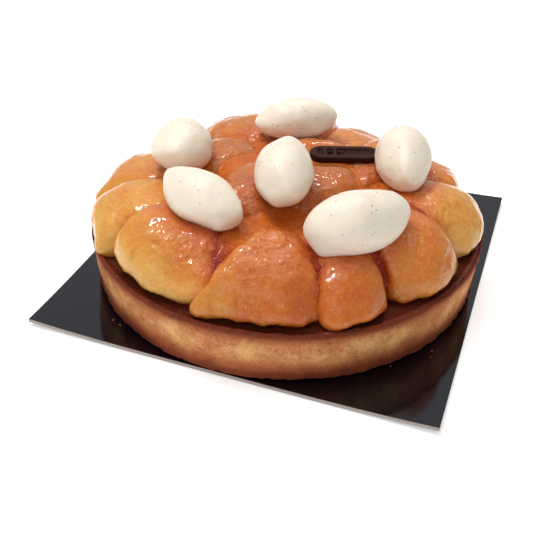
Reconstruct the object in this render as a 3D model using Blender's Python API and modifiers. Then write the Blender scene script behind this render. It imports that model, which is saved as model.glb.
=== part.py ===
"""A tarte tatin on its card: a short-crust shell, a caramel filling, a mound of
cooked apple quarters, six quenelles of vanilla cream and a chocolate plaque.

Metres, +Z up.  The origin is on the tart's own axis, at the underside of the
card, and the card's sides run along X and Y.
"""
import math

import bmesh
import bpy
import numpy as np
from mathutils import Matrix, Vector

MM = 0.001

# Driving dimensions
RIM_RADIUS = 102.0 * MM        # outside of the crust at its rim
FOOT_RADIUS = 99.3 * MM        # outside of the crust at its foot
CRUST_HEIGHT = 27.7 * MM
CRUST_WALL = 3.0 * MM          # wall thickness, and thickness of the floor
RIM_DEPTH = 2.4 * MM           # how far the caramel lies below the rim
CARD_SIDE = 200.4 * MM
CARD_THICKNESS = 2.0 * MM
CARD_OFFSET = (3.8 * MM, 0.35 * MM)   # card's middle, seen from the tart's axis
CARD_CURL = 1.9 * MM           # rise of the card's free corners
GAP = 0.3 * MM                 # clearance between pieces that touch

CRUST_BASE = CARD_THICKNESS + GAP
RIM_Z = CRUST_BASE + CRUST_HEIGHT
CARAMEL_Z = RIM_Z - RIM_DEPTH
APPLE_REACH = RIM_RADIUS - CRUST_WALL - 2 * GAP    # the fruit stays inside the rim,
RIM_CLEARANCE = 2.0 * MM                           # and from this far above it
APPLE_LEAN = 0.45                                  # leans out, this much for its rise

ROUND_STEPS = 64               # facets round the crust and the filling

# Cooked apple quarters of the outer ring, in order round the tart.  Each row is
# (turn, out, in, width, top, belly, roll, flare, yaw): the heading of the quarter
# in degrees, the radii of its outer and inner ends, its full width, the heights of
# its crown and of its widest level in mm, its roll about its own length, how much
# wider it is outside than inside, and how far it is turned off its radius.
OUTER_APPLES = (
    (281, 96.5, 33, 53, 53, 27, 0, 0.55, -5),
    (310, 99.0, 30, 36, 51, 27, 0, 0.15, 0),
    (337, 99.5, 34, 45, 55, 29, 0, 0.15, 0),
    (5, 101, 34, 42, 53, 34, 8, 0.15, 0),
    (28, 96, 32, 40, 51, 32, 0, 0.15, 0),
    (51, 94, 30, 40, 49, 31, 0, 0.15, 0),
    (75, 90, 22, 40, 46, 30, 0, 0.20, 0),
    (99, 91, 22, 42, 51, 30, 0, 0.20, 0),
    (128, 92, 24, 50, 50, 30, 0, 0.20, 0),
    (161, 91, 26, 44, 44, 31, 0, 0.20, 0),
    (190, 96, 30, 43, 49, 33, 0, 0.15, 0),
    (215, 101, 30, 42, 50, 34, -6, 0.15, 0),
    (242, 97, 28, 57, 51, 30, -12, 0.25, 0),
)

# Apple pieces heaped in the middle: (turn, radius, length, width, top, yaw).
INNER_APPLES = (
    (171, 40, 42, 32, 55, 60),
    (246, 22, 46, 34, 58, 20),
    (340, 17, 46, 36, 59, 60),
    (18, 42, 40, 26, 55, 50),
    (80, 20, 44, 34, 55, 0),
)

# Quenelles: (turn, radius, height of the middle, length, width, heading, dip,
# egg), where a positive egg is blunt at its far end and pointed at its near one.
QUENELLES = (
    (192, 54, 62.5, 46, 31, 283, -16, 0.06),
    (243, 56, 60, 53, 28, 335, 6, -0.05),
    (285, 25.5, 67, 49, 29, 285, 8, 0.06),
    (103, 45.5, 60.5, 48, 25, 22, -4, 0.0),
    (17, 58, 62.5, 46, 28.5, 286, 14, 0.10),
    (318, 65, 60.5, 52, 33, 38, -6, 0.03),
)

PLAQUE_LENGTH = 36.0 * MM
PLAQUE_WIDTH = 13.0 * MM
PLAQUE_THICKNESS = 3.2 * MM
PLAQUE_PLACE = (44, 33, 54.5, 20)     # turn, radius, height, heading


def clear_scene():
    for obj in list(bpy.data.objects):
        bpy.data.objects.remove(obj, do_unlink=True)


def new_collection(name):
    collection = bpy.data.collections.new(name)
    bpy.context.scene.collection.children.link(collection)
    return collection


def material(name, colour, roughness, metallic=0.0):
    """A Principled surface of one colour."""
    mat = bpy.data.materials.new(name)
    mat.use_nodes = True
    shader = mat.node_tree.nodes["Principled BSDF"]
    shader.inputs["Base Color"].default_value = (*colour, 1.0)
    shader.inputs["Roughness"].default_value = roughness
    shader.inputs["Metallic"].default_value = metallic
    return mat


def add_object(name, mesh, collection, mat, smooth=True):
    obj = bpy.data.objects.new(name, mesh)
    mesh.materials.append(mat)
    collection.objects.link(obj)
    if smooth:
        mesh.shade_smooth()
        mesh.set_sharp_from_angle(angle=math.radians(40))
    return obj


def get_points(mesh):
    points = np.empty(len(mesh.vertices) * 3)
    mesh.vertices.foreach_get("co", points)
    return points.reshape(-1, 3)


def set_points(mesh, points):
    mesh.vertices.foreach_set("co", np.ascontiguousarray(points, dtype=np.float32).ravel())
    mesh.update()


def heading(degrees):
    angle = math.radians(degrees)
    return np.array([math.cos(angle), math.sin(angle), 0.0])


# ---------------------------------------------------------------- soft lumps

def ball_mesh(name, detail=3):
    """A unit ball of even triangles, the start of every soft lump."""
    bm = bmesh.new()
    bmesh.ops.create_icosphere(bm, subdivisions=detail, radius=1.0)
    mesh = bpy.data.meshes.new(name)
    bm.to_mesh(mesh)
    bm.free()
    return mesh


def apple_form(ball, power, flare):
    """A plump rounded block inside a unit cube, wider towards +X by flare."""
    norm = (np.abs(ball) ** power).sum(axis=1) ** (1.0 / power)
    form = ball / norm[:, None]
    form[:, 1] *= 1.0 + flare * form[:, 0]
    return form


def quenelle_form(ball, egg):
    """A pointed oval along X with three soft sides, as two spoons shape it."""
    along = ball[:, 0]
    around = np.arctan2(ball[:, 2], ball[:, 1])
    girth = np.maximum(1.0 - np.abs(along) ** 1.9, 0.0) ** 0.58
    girth = girth * (1.0 - egg * along) * (1.0 + 0.05 * np.cos(3.0 * around + 0.5 * math.pi))
    return np.stack([along, girth * np.cos(around), girth * np.sin(around)], axis=1)


def place(form, half, axes, centre):
    """Scale a unit form by its half sizes and set it along three axes."""
    return (form * np.asarray(half)) @ np.asarray(axes) + np.asarray(centre)


def turned_axes(turn, pitch=0.0, roll=0.0):
    """Three axes: length, width, height, after roll, pitch and turn in degrees."""
    turning = Matrix.Rotation(math.radians(turn), 3, "Z")
    pitching = Matrix.Rotation(math.radians(pitch), 3, "Y")
    rolling = Matrix.Rotation(math.radians(roll), 3, "X")
    return np.array((turning @ pitching @ rolling).transposed())


def outer_apple(ball, turn, out, inside, width, top, belly, roll, flare, yaw):
    """A quarter that lies along a radius, its broad end on the rim."""
    half = np.array([(out - inside) / 2, width / 2, top - belly]) * MM
    centre = heading(turn) * (out + inside) / 2 * MM
    centre[2] = belly * MM
    return place(apple_form(ball, 2.35, flare), half, turned_axes(turn + yaw, 0, roll), centre)


def inner_apple(ball, turn, radius, length, width, top, yaw):
    """A piece heaped in the middle, over the inner ends of the ring."""
    half = np.array([length / 2, width / 2, 15.0]) * MM
    centre = heading(turn) * radius * MM
    centre[2] = top * MM - half[2]
    return place(apple_form(ball, 2.3, 0.1), half, turned_axes(turn + yaw), centre)


def quenelle(ball, turn, radius, height, length, width, toward, dip, egg):
    """An egg of whipped cream, set down on the fruit between two spoons."""
    half = np.array([length / 2, width / 2, width * 0.43]) * MM
    centre = heading(turn) * radius * MM
    centre[2] = height * MM
    return place(quenelle_form(ball, egg), half, turned_axes(toward, dip), centre)


def sphere_directions(count):
    """Directions spread evenly over a sphere, along a golden spiral."""
    step = np.arange(count) + 0.5
    height = 1.0 - 2.0 * step / count
    angle = math.pi * (1.0 + math.sqrt(5.0)) * step
    level = np.sqrt(1.0 - height ** 2)
    return np.stack([level * np.cos(angle), level * np.sin(angle), height], axis=1)


DIRECTIONS = sphere_directions(600)


def contact_plane(first, second, share):
    """The plane between two lumps across which they overlap least.

    Gives its normal, from the first to the second, and its distance, or None
    where the lumps are clear of each other.  share is how much of the overlap
    the first one gives up.
    """
    reach = (first @ DIRECTIONS.T).max(axis=0)
    start = (second @ DIRECTIONS.T).min(axis=0)
    depth = reach - start
    best = int(np.argmin(depth))
    if depth[best] < -GAP:
        return None
    return DIRECTIONS[best], reach[best] - share * depth[best]


def press(points, planes):
    """Push points back behind every plane (normal, distance), in turn."""
    for _ in range(60):
        moved = 0.0
        for normal, distance in planes:
            over = np.maximum(points @ normal - distance, 0.0)
            points = points - over[:, None] * normal
            moved = max(moved, float(over.max()))
        if moved < 1e-7:
            break
    return points


def press_apart(lumps, shares):
    """Flatten neighbouring lumps against each other, as cooked fruit settles.

    Every pair that overlaps shares one plane and each keeps to its own side, so
    the lumps end a gap apart.  The higher share gives way more, and a share of
    nothing stays as it is.  All stand on the caramel.
    """
    names = list(lumps)
    standing = (np.array([0.0, 0.0, -1.0]), -(CARAMEL_Z + GAP))
    planes = {name: [standing] for name in names}
    for i, first in enumerate(names):
        for second in names[i + 1:]:
            share = shares[first] / (shares[first] + shares[second])
            found = contact_plane(lumps[first], lumps[second], share)
            if found:
                normal, distance = found
                planes[first].append((normal, distance - share * GAP))
                planes[second].append((-normal, -distance - (1.0 - share) * GAP))
    return {name: press(lumps[name], planes[name]) for name in names}


def keep_inside(points):
    """Pull the fruit back inside the shell's wall; it leans out over the rim."""
    reach = np.hypot(points[:, 0], points[:, 1])
    wall = points * (APPLE_REACH / np.maximum(reach, MM))[:, None]
    above = np.maximum(points[:, 2] - RIM_Z - RIM_CLEARANCE, 0.0)
    limit = np.hypot(*draw_in(wall)[:, :2].T) + APPLE_LEAN * above
    scale = np.minimum(limit / np.maximum(reach, MM), 1.0)
    return points * np.stack([scale, scale, np.ones_like(scale)], axis=1)


def build_lumps(collection, looks, plaque):
    """All apples and quenelles: shaped, set in place and pressed together.

    The plaque lies on them, so they give way to it.
    """
    meshes, points, shares, mats = {}, {}, {}, {}

    def add(name, shape, row, share, mat):
        meshes[name] = ball_mesh(name)
        points[name] = shape(get_points(meshes[name]), *row)
        shares[name] = share
        mats[name] = looks[mat]

    for index, row in enumerate(OUTER_APPLES, start=1):
        add("apple_outer_%02d" % index, outer_apple, row, 1.0, "apple")
    for index, row in enumerate(INNER_APPLES, start=1):
        add("apple_inner_%d" % index, inner_apple, row, 1.0, "apple")
    for index, row in enumerate(QUENELLES, start=1):
        add("cream_%d" % index, quenelle, row, 3.0, "cream")
    points["chocolate"] = get_points(plaque.data)
    shares["chocolate"] = 0.0
    points = {name: keep_inside(lump) for name, lump in points.items()}
    pressed = press_apart(points, shares)
    for name, mesh in meshes.items():
        set_points(mesh, pressed[name])
        add_object(name, mesh, collection, mats[name])


# ---------------------------------------------------------------- turned pieces

def turned(name, profile):
    """A profile of (radius, height) turned once round Z, as a mesh.

    The profile runs from the axis or an edge down the outer side, top to bottom.
    """
    mesh = bpy.data.meshes.new(name + "_profile")
    count = len(profile)
    mesh.from_pydata([(r, 0.0, z) for r, z in profile], [(i, i + 1) for i in range(count - 1)], [])
    obj = bpy.data.objects.new(name + "_profile", mesh)
    bpy.context.scene.collection.objects.link(obj)
    screw = obj.modifiers.new("Turn", "SCREW")
    screw.steps = ROUND_STEPS
    screw.render_steps = ROUND_STEPS
    screw.use_merge_vertices = True
    screw.merge_threshold = 0.00001
    bpy.context.view_layer.update()
    evaluated = obj.evaluated_get(bpy.context.evaluated_depsgraph_get())
    result = bpy.data.meshes.new_from_object(evaluated)
    result.name = name
    bpy.data.objects.remove(obj, do_unlink=True)
    return result


def rim_rise(angle):
    """How far the rim stands above its level: lower behind, with a slow ripple."""
    front, ripple = math.radians(258), math.radians(233)
    return (0.9 * np.cos(angle - front) - 0.9 + 0.45 * np.cos(8 * (angle - ripple))) * MM


def draw_in(points):
    """Draw a round piece in on the side where the shell baked out of round."""
    angle = np.arctan2(points[:, 1], points[:, 0])
    draw = 1.6 * MM / RIM_RADIUS * np.maximum(np.cos(angle - math.radians(195)), 0.0) ** 2
    scale = 1.0 - draw
    return points * np.stack([scale, scale, np.ones_like(scale)], axis=1)


def crust_profile():
    lip = 1.2 * MM
    inner_foot = FOOT_RADIUS - CRUST_WALL
    inner_rim = RIM_RADIUS - CRUST_WALL
    floor = CRUST_BASE + CRUST_WALL
    toe = 1.5 * MM
    return [
        (0.0, floor),
        (inner_foot, floor),
        (inner_rim, RIM_Z - lip * 0.6),
        (inner_rim + 0.8 * MM, RIM_Z),
        (RIM_RADIUS - 0.8 * MM, RIM_Z),
        (RIM_RADIUS, RIM_Z - lip),
        (FOOT_RADIUS + 0.3 * MM, CRUST_BASE + toe),
        (FOOT_RADIUS - toe * 0.6, CRUST_BASE),
        (0.0, CRUST_BASE),
    ]


def build_crust(collection, mat):
    mesh = turned("crust", crust_profile())
    points = get_points(mesh)
    rise = np.clip((points[:, 2] - CRUST_BASE - CRUST_WALL) / (CRUST_HEIGHT - CRUST_WALL), 0, 1)
    angle = np.arctan2(points[:, 1], points[:, 0])
    points[:, 2] += rise * rim_rise(angle)
    set_points(mesh, draw_in(points))
    return add_object("crust", mesh, collection, mat)


def build_filling(collection, mat):
    """The caramel layer that fills the shell up to just below its rim."""
    foot = FOOT_RADIUS - CRUST_WALL - GAP
    slope = (RIM_RADIUS - FOOT_RADIUS) / CRUST_HEIGHT
    base = CRUST_BASE + CRUST_WALL + GAP
    top_radius = foot + slope * (CARAMEL_Z - base)
    profile = [(0.0, CARAMEL_Z), (top_radius, CARAMEL_Z), (foot, base), (0.0, base)]
    mesh = turned("filling", profile)
    set_points(mesh, draw_in(get_points(mesh)))
    return add_object("filling", mesh, collection, mat)


# ---------------------------------------------------------------- flat pieces

def build_card(collection, mat):
    """A square card whose corners, clear of the tart, curl up a little."""
    cells = 8
    bm = bmesh.new()
    bmesh.ops.create_cube(bm, size=1.0)
    bmesh.ops.scale(bm, vec=(CARD_SIDE, CARD_SIDE, CARD_THICKNESS), verts=bm.verts)
    edges = [e for e in bm.edges if abs(e.verts[0].co.z - e.verts[1].co.z) < 1e-9]
    bmesh.ops.subdivide_edges(bm, edges=edges, cuts=cells - 1, use_grid_fill=True)
    bmesh.ops.translate(bm, vec=(*CARD_OFFSET, CARD_THICKNESS / 2), verts=bm.verts)
    half = CARD_SIDE / 2
    for vert in bm.verts:
        reach = math.hypot(vert.co.x - CARD_OFFSET[0], vert.co.y - CARD_OFFSET[1])
        free = max(reach / half - 1.0, 0.0) / (math.sqrt(2.0) - 1.0)
        vert.co.z += CARD_CURL * free * free
    mesh = bpy.data.meshes.new("card")
    bm.to_mesh(mesh)
    bm.free()
    return add_object("card", mesh, collection, mat, smooth=False)


def build_plaque(collection, mat):
    """A small dark chocolate bar with round ends, laid on the fruit."""
    radius = PLAQUE_WIDTH / 2
    straight = PLAQUE_LENGTH / 2 - radius
    steps = 10
    outline = []
    for side in (1, -1):
        for step in range(steps + 1):
            angle = side * math.pi / 2 - step * math.pi / steps
            outline.append((side * straight + radius * math.cos(angle), radius * math.sin(angle)))
    bm = bmesh.new()
    face = bm.faces.new([bm.verts.new((x, y, 0.0)) for x, y in outline])
    result = bmesh.ops.extrude_face_region(bm, geom=[face])
    raised = [item for item in result["geom"] if isinstance(item, bmesh.types.BMVert)]
    bmesh.ops.translate(bm, vec=(0, 0, PLAQUE_THICKNESS), verts=raised)
    bmesh.ops.recalc_face_normals(bm, faces=bm.faces)
    turn, reach, height, toward = PLAQUE_PLACE
    spot = Vector(heading(turn) * reach * MM)
    spot.z = height * MM
    pose = Matrix.Translation(spot) @ Matrix.Rotation(math.radians(toward), 4, "Z")
    bmesh.ops.transform(bm, matrix=pose, verts=bm.verts)
    mesh = bpy.data.meshes.new("chocolate")
    bm.to_mesh(mesh)
    bm.free()
    return add_object("chocolate", mesh, collection, mat, smooth=False)


def main():
    clear_scene()
    tart = new_collection("tarte_tatin")
    looks = {
        "crust": material("baked_crust", (0.47, 0.26, 0.11), 0.75),
        "caramel": material("dark_caramel", (0.07, 0.018, 0.01), 0.25),
        "apple": material("glazed_apple", (0.62, 0.26, 0.07), 0.25),
        "cream": material("vanilla_cream", (0.88, 0.80, 0.68), 0.45),
        "chocolate": material("dark_chocolate", (0.035, 0.015, 0.012), 0.35),
        "card": material("black_card", (0.012, 0.011, 0.015), 0.12),
    }
    build_card(tart, looks["card"])
    build_crust(tart, looks["crust"])
    build_filling(tart, looks["caramel"])
    plaque = build_plaque(tart, looks["chocolate"])
    build_lumps(tart, looks, plaque)


main()
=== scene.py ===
# %% [markdown]
# # A tarte tatin on its black card
#
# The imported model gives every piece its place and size: the card, the short-crust
# shell, the caramel in it, eighteen cooked apple quarters, six quenelles of vanilla
# cream and a chocolate bar. Here each of them gets its real surface. The plain
# solids stay as a hidden frame, and every new piece is worked out from one of them,
# so that nothing has to be fitted by hand.

import math

import bpy
import numpy as np
from mathutils import Matrix, Vector


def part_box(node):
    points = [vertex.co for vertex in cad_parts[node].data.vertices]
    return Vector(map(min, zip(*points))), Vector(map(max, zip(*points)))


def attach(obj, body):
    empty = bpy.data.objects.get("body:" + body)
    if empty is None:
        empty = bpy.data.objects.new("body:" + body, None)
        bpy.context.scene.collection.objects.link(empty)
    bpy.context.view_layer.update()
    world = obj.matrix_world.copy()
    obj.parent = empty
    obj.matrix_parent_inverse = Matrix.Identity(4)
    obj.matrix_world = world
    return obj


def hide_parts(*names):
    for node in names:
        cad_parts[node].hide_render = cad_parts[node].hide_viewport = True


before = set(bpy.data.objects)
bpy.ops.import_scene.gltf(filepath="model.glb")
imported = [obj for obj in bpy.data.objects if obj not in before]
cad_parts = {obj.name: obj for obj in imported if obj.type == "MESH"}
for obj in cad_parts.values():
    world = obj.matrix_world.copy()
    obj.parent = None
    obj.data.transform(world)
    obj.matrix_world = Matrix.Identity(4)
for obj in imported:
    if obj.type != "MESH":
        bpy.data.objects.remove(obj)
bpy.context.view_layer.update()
MM = 0.001
APPLES = sorted(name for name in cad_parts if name.startswith("apple"))
CREAMS = sorted(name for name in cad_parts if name.startswith("cream"))
print("frame:", len(APPLES), "apples,", len(CREAMS), "quenelles")

# %% [markdown]
# ## The camera
#
# A normal lens looks down on the tart at about 36 degrees, the way a person at the
# table sees it. It stands a little to the right of the card's front edge, so the
# card shows as a lozenge. The camera is made first, because the size of the finest
# detail depends on what it can resolve.

# %% Camera
CAMERA_PLACE = Vector((117.3, -363.4, 269.7)) * MM
CAMERA_TURN = math.radians(19.28)      # to the right of straight ahead
CAMERA_PITCH = math.radians(35.94)     # down from level
CAMERA_ROLL = math.radians(1.22)
LENS_MM = 57.87
SENSOR_MM = 36.0


def make_camera():
    """A camera whose axes come from a turn about Z, a pitch and a roll."""
    data = bpy.data.cameras.new("camera")
    data.lens = LENS_MM
    data.sensor_width = SENSOR_MM
    data.clip_start = 0.01
    camera = bpy.data.objects.new("camera", data)
    bpy.context.scene.collection.objects.link(camera)
    turn = Matrix.Rotation(CAMERA_TURN, 4, "Z")
    pitch = Matrix.Rotation(math.pi / 2 - CAMERA_PITCH, 4, "X")
    roll = Matrix.Rotation(CAMERA_ROLL, 4, "Z")
    camera.matrix_world = Matrix.Translation(CAMERA_PLACE) @ turn @ pitch @ roll
    bpy.context.scene.camera = camera


make_camera()
print("camera:", LENS_MM, "mm lens at", tuple(round(v, 3) for v in CAMERA_PLACE))

# %% [markdown]
# ## Light
#
# Pastry is shown off on white, lit from all round. A dim white sky and a wide softbox
# overhead give that, and make the glossy card mirror a pale room. Two narrow strips,
# a key overhead on the left and a weaker spark behind it, draw the crisp wet
# highlights on the glaze, because a wide light would spread into a dull sheen. A
# broad, slightly blue light behind edges the fruit, and one in front keeps the
# shadows under the rim open.

# %% Lights
def area_light(name, place, target, size, power, colour=(1, 1, 1)):
    """A rectangular softbox at a place, turned to face a target; sizes in metres."""
    data = bpy.data.lights.new(name, "AREA")
    data.shape = "RECTANGLE"
    data.size, data.size_y = size
    data.energy = power
    data.color = colour
    light = bpy.data.objects.new(name, data)
    bpy.context.scene.collection.objects.link(light)
    light.location = place
    aim = Vector(target) - Vector(place)
    light.rotation_euler = aim.to_track_quat("-Z", "Y").to_euler()


def make_world(strength):
    world = bpy.data.worlds.new("studio")
    bpy.context.scene.world = world
    world.use_nodes = True
    sky = world.node_tree.nodes["Background"]
    sky.inputs["Color"].default_value = (1.0, 0.985, 0.97, 1.0)
    sky.inputs["Strength"].default_value = strength


MIDDLE = (0.0, 0.0, 40 * MM)
make_world(0.42)
area_light("top", (-0.15, 0.10, 0.95), MIDDLE, (0.90, 0.90), 2.7)
area_light("key", (-0.28, 0.03, 0.72), MIDDLE, (0.32, 0.035), 2.3, (1.0, 0.98, 0.95))
area_light("spark", (-0.10, 0.50, 0.70), MIDDLE, (0.18, 0.03), 0.9)
area_light("back", (-0.45, 1.10, 0.80), MIDDLE, (1.70, 0.70), 1.2, (0.93, 0.95, 1.12))
area_light("front", (-0.10, -0.90, 0.75), MIDDLE, (1.10, 0.60), 2.2)
bpy.context.scene.view_settings.view_transform = "Standard"

# %% [markdown]
# ## Shader arithmetic
#
# Materials here are sums: so much of this colour where a mask is high, so much
# roughness from a noise. Wiring them node by node hides the sum, so one small class
# wraps a socket and adds a Math node for each operator, and a look is then written
# the way it is thought of.

# %% A number in a shader
def operator(operation, reflected=False):
    """A method that adds one Math node, its two terms swapped if it is reflected."""
    def method(self, other):
        terms = {0: other, 1: self} if reflected else {0: self, 1: other}
        node = self.look.add("ShaderNodeMath", {"operation": operation}, terms)
        return Value(self.look, node.outputs[0])

    return method


class Value:
    """A number that varies over a surface; +, -, *, / and ** add Math nodes."""

    def __init__(self, look, socket):
        self.look, self.socket = look, socket

    __add__ = __radd__ = operator("ADD")
    __mul__ = __rmul__ = operator("MULTIPLY")
    __sub__, __rsub__ = operator("SUBTRACT"), operator("SUBTRACT", reflected=True)
    __truediv__ = operator("DIVIDE")
    __pow__ = operator("POWER")
    most = operator("MAXIMUM")


# %% A material
class Look:
    """A Principled material, built up from nodes that one method adds."""

    def __init__(self, name, **constants):
        self.material = bpy.data.materials.new(name)
        self.material.use_nodes = True
        self.tree = self.material.node_tree
        self.shader = self.tree.nodes["Principled BSDF"]
        for socket, value in constants.items():
            self.shader.inputs[socket.replace("_", " ")].default_value = value

    def add(self, kind, settings=None, inputs=None):
        """A node of one kind: its settings first, then its sockets' values or links."""
        node = self.tree.nodes.new(kind)
        for setting, value in (settings or {}).items():
            if setting == "stops":
                self._stops(node.color_ramp, value)
            else:
                setattr(node, setting, value)
        for key, value in (inputs or {}).items():
            self.feed(node.inputs[key], value)
        return node

    def _stops(self, ramp, stops):
        while len(ramp.elements) < len(stops):
            ramp.elements.new(1.0)
        for element, (place, colour) in zip(ramp.elements, stops):
            element.position = place
            element.color = (*colour, 1.0)

    def feed(self, socket, value):
        if isinstance(value, Value):
            self.tree.links.new(value.socket, socket)
        elif isinstance(value, bpy.types.NodeSocket):
            self.tree.links.new(value, socket)
        elif isinstance(value, tuple) and len(value) == 3 and socket.type == "RGBA":
            socket.default_value = (*value, 1.0)
        else:
            socket.default_value = value

    def set(self, **links):
        for socket, value in links.items():
            self.feed(self.shader.inputs[socket.replace("_", " ")], value)

    def place(self):
        """The point on the piece, in metres, in its own frame."""
        return self.add("ShaderNodeTexCoord").outputs["Object"]

    def height(self):
        """The point's height above the table, in metres."""
        node = self.add("ShaderNodeSeparateXYZ", None, {0: self.place()})
        return Value(self, node.outputs["Z"])

    def attribute(self, name):
        """A number stored at each of the piece's vertices."""
        node = self.add("ShaderNodeAttribute", {"attribute_name": name})
        return Value(self, node.outputs["Fac"])

    def noise(self, size, detail=3.0, rough=0.5, stretch=None):
        """Cloudy noise from 0 to 1 whose features are about size metres wide."""
        point = self.place()
        if stretch:
            point = self.add("ShaderNodeMapping", None, {"Vector": point, "Scale": stretch}).outputs[0]
        sockets = {"Vector": point, "Scale": 1.0 / size, "Detail": detail, "Roughness": rough}
        return Value(self, self.add("ShaderNodeTexNoise", None, sockets).outputs[0])

    def cells(self, size):
        """Distance to the nearest of many scattered points, in cells of a size."""
        node = self.add("ShaderNodeTexVoronoi", None, {"Vector": self.place(), "Scale": 1.0 / size})
        return Value(self, node.outputs["Distance"])

    def rise(self, value, low, high):
        """0 below low, 1 above high, and a smooth step between."""
        node = self.add("ShaderNodeMapRange", {"interpolation_type": "SMOOTHSTEP"},
                        {"Value": value, "From Min": low, "From Max": high})
        return Value(self, node.outputs[0])

    def mix(self, share, first, second):
        """From the first colour to the second as share goes from 0 to 1."""
        node = self.add("ShaderNodeMix", {"data_type": "RGBA"}, {0: share, 6: first, 7: second})
        return node.outputs[2]

    def coats(self, colour, *coats):
        """The colour under coats of (share, colour), each laid over the last."""
        for share, coat in coats:
            colour = self.mix(share, colour, coat)
        return colour

    def ramp(self, value, stops):
        """A colour read off a scale of (place, colour) stops."""
        node = self.add("ShaderNodeValToRGB", {"stops": stops}, {"Fac": value})
        return node.outputs["Color"]

    def relief(self, *layers):
        """Bumps of (height, depth in metres, strength), each on top of the last."""
        normal = None
        for height, depth, strength in layers:
            sockets = {"Height": height, "Distance": depth, "Strength": strength}
            if normal is not None:
                sockets["Normal"] = normal
            normal = self.add("ShaderNodeBump", None, sockets).outputs[0]
        return normal


def cloudy_look(name, size, dark, light, **constants):
    """A look in two colours that change in clouds of a size."""
    look = Look(name, **constants)
    look.set(Base_Color=look.mix(look.noise(size), dark, light))
    return look


print("shader helpers ready")

# %% [markdown]
# ## Surfaces from numpy
#
# Every piece is a function of two parameters worked out on a grid as whole arrays.
# Soft lumps use a ball made of six square grids, the faces of a cube blown up round,
# because its cells are all about the same size and it has no pinched poles. Relief
# is added as smooth noise that depends on the point in space, so neighbouring cells
# agree and no seam shows.

# %% Grids and noise
def grid_quads(values):
    """For each cell of a grid, what lies at its four corners, in order round it."""
    return np.stack([values[:-1, :-1], values[1:, :-1], values[1:, 1:], values[:-1, 1:]], axis=2)


def ball_grid(count):
    """Directions over a ball, and the quads that join them.

    A cube face is the grid of (tan a, tan b) for angles of -45 to 45 degrees;
    dividing each point by its length puts it on the ball.
    """
    side = np.tan(np.linspace(-math.pi / 4, math.pi / 4, count + 1))
    first, second = np.meshgrid(side, side, indexing="ij")
    quad = grid_quads(np.arange(first.size).reshape(first.shape)).reshape(-1, 4)
    points, quads = [], []
    for axis in range(3):
        for sign in (1, -1):
            face = np.empty((first.size, 3))
            face[:, axis] = sign
            face[:, (axis + 1) % 3] = (first if sign > 0 else second).ravel()
            face[:, (axis + 2) % 3] = (second if sign > 0 else first).ravel()
            quads.append(quad + len(points) * first.size)
            points.append(face)
    points = np.concatenate(points)
    points /= np.linalg.norm(points, axis=1)[:, None]
    _, keep, index = np.unique(np.round(points, 6), axis=0, return_index=True, return_inverse=True)
    return points[keep], index.ravel()[np.concatenate(quads)]


def cloud(points, size, seed):
    """Smooth noise in -1..1: random values on a lattice of cells of a size, blended
    along each axis with the weight 3t^2 - 2t^3."""
    table = np.random.default_rng(seed).uniform(-1.0, 1.0, (32, 32, 32))
    spot = np.asarray(points) / size + 100.0
    cell = np.floor(spot).astype(int)
    part = spot - cell
    part = part * part * (3.0 - 2.0 * part)
    total = np.zeros(len(spot))
    for corner in np.ndindex(2, 2, 2):
        share = np.where(corner, part, 1.0 - part).prod(axis=1)
        x, y, z = ((cell + corner) % 32).T
        total += share * table[x, y, z]
    return total


def step(values, low, high):
    """0 below low, 1 above high, and 3t^2 - 2t^3 between."""
    t = np.clip((values - low) / (high - low), 0.0, 1.0)
    return t * t * (3.0 - 2.0 * t)


def ring_faces(rows, count):
    """The faces of a closed skin over rows of points carried round: quads between
    rows, then a fan to one point at each end. The two end points follow the rows."""
    index = np.arange(rows * count).reshape(rows, count)
    after = np.roll(index, -1, axis=1)
    quad = np.stack([index[:-1], index[1:], after[1:], after[:-1]], axis=2).reshape(-1, 4)
    none = np.full(count, -1)
    first = np.stack([np.full(count, rows * count), index[0], after[0], none], axis=1)
    last = np.stack([np.full(count, rows * count + 1), after[-1], index[-1], none], axis=1)
    return np.concatenate([quad, first, last])


def make_mesh(name, points, faces, material, smooth=True, **attributes):
    """A mesh object at the origin from arrays of points and faces, with numbers
    stored at its vertices. An index of -1 stands for no corner, as in a triangle
    among quads."""
    used = faces >= 0
    corners = used.sum(axis=1)
    mesh = bpy.data.meshes.new(name)
    mesh.vertices.add(len(points))
    mesh.vertices.foreach_set("co", np.asarray(points, dtype=np.float32).ravel())
    mesh.loops.add(int(corners.sum()))
    mesh.loops.foreach_set("vertex_index", faces[used].astype(np.int32))
    mesh.polygons.add(len(faces))
    mesh.polygons.foreach_set("loop_start", (np.cumsum(corners) - corners).astype(np.int32))
    mesh.update(calc_edges=True)
    for key, values in attributes.items():
        layer = mesh.attributes.new(key, "FLOAT", "POINT")
        layer.data.foreach_set("value", np.asarray(values, dtype=np.float32))
    if smooth:
        mesh.shade_smooth()
    else:
        mesh.shade_flat()
    mesh.materials.append(material)
    piece = bpy.data.objects.new(name, mesh)
    bpy.context.scene.collection.objects.link(piece)
    return piece


def make_piece(name, node, slot, *shape, **looks):
    """A mesh that rides on the one body and is shown instead of a CAD node, if any."""
    piece = make_mesh(name, *shape, **looks)
    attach(piece, "root")
    if node:
        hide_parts(node)
    return piece


BALL, BALL_QUADS = ball_grid(64)
SMALL_BALL, SMALL_QUADS = ball_grid(44)
print("ball grids:", len(BALL_QUADS), "and", len(SMALL_QUADS), "quads")

# %% [markdown]
# ## From a faceted lump to a soft one
#
# The frame's lumps are pressed against each other and have a few hundred flat
# facets. Seen from its middle, a lump is a reach in every direction. Averaging that
# reach over neighbouring directions rounds every edge by a chosen angle and keeps
# the place, the size and the contact faces. A cook's knife and a spoon leave broad
# flat strokes: these are planes that cut the averaged reach, with a soft edge.

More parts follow.
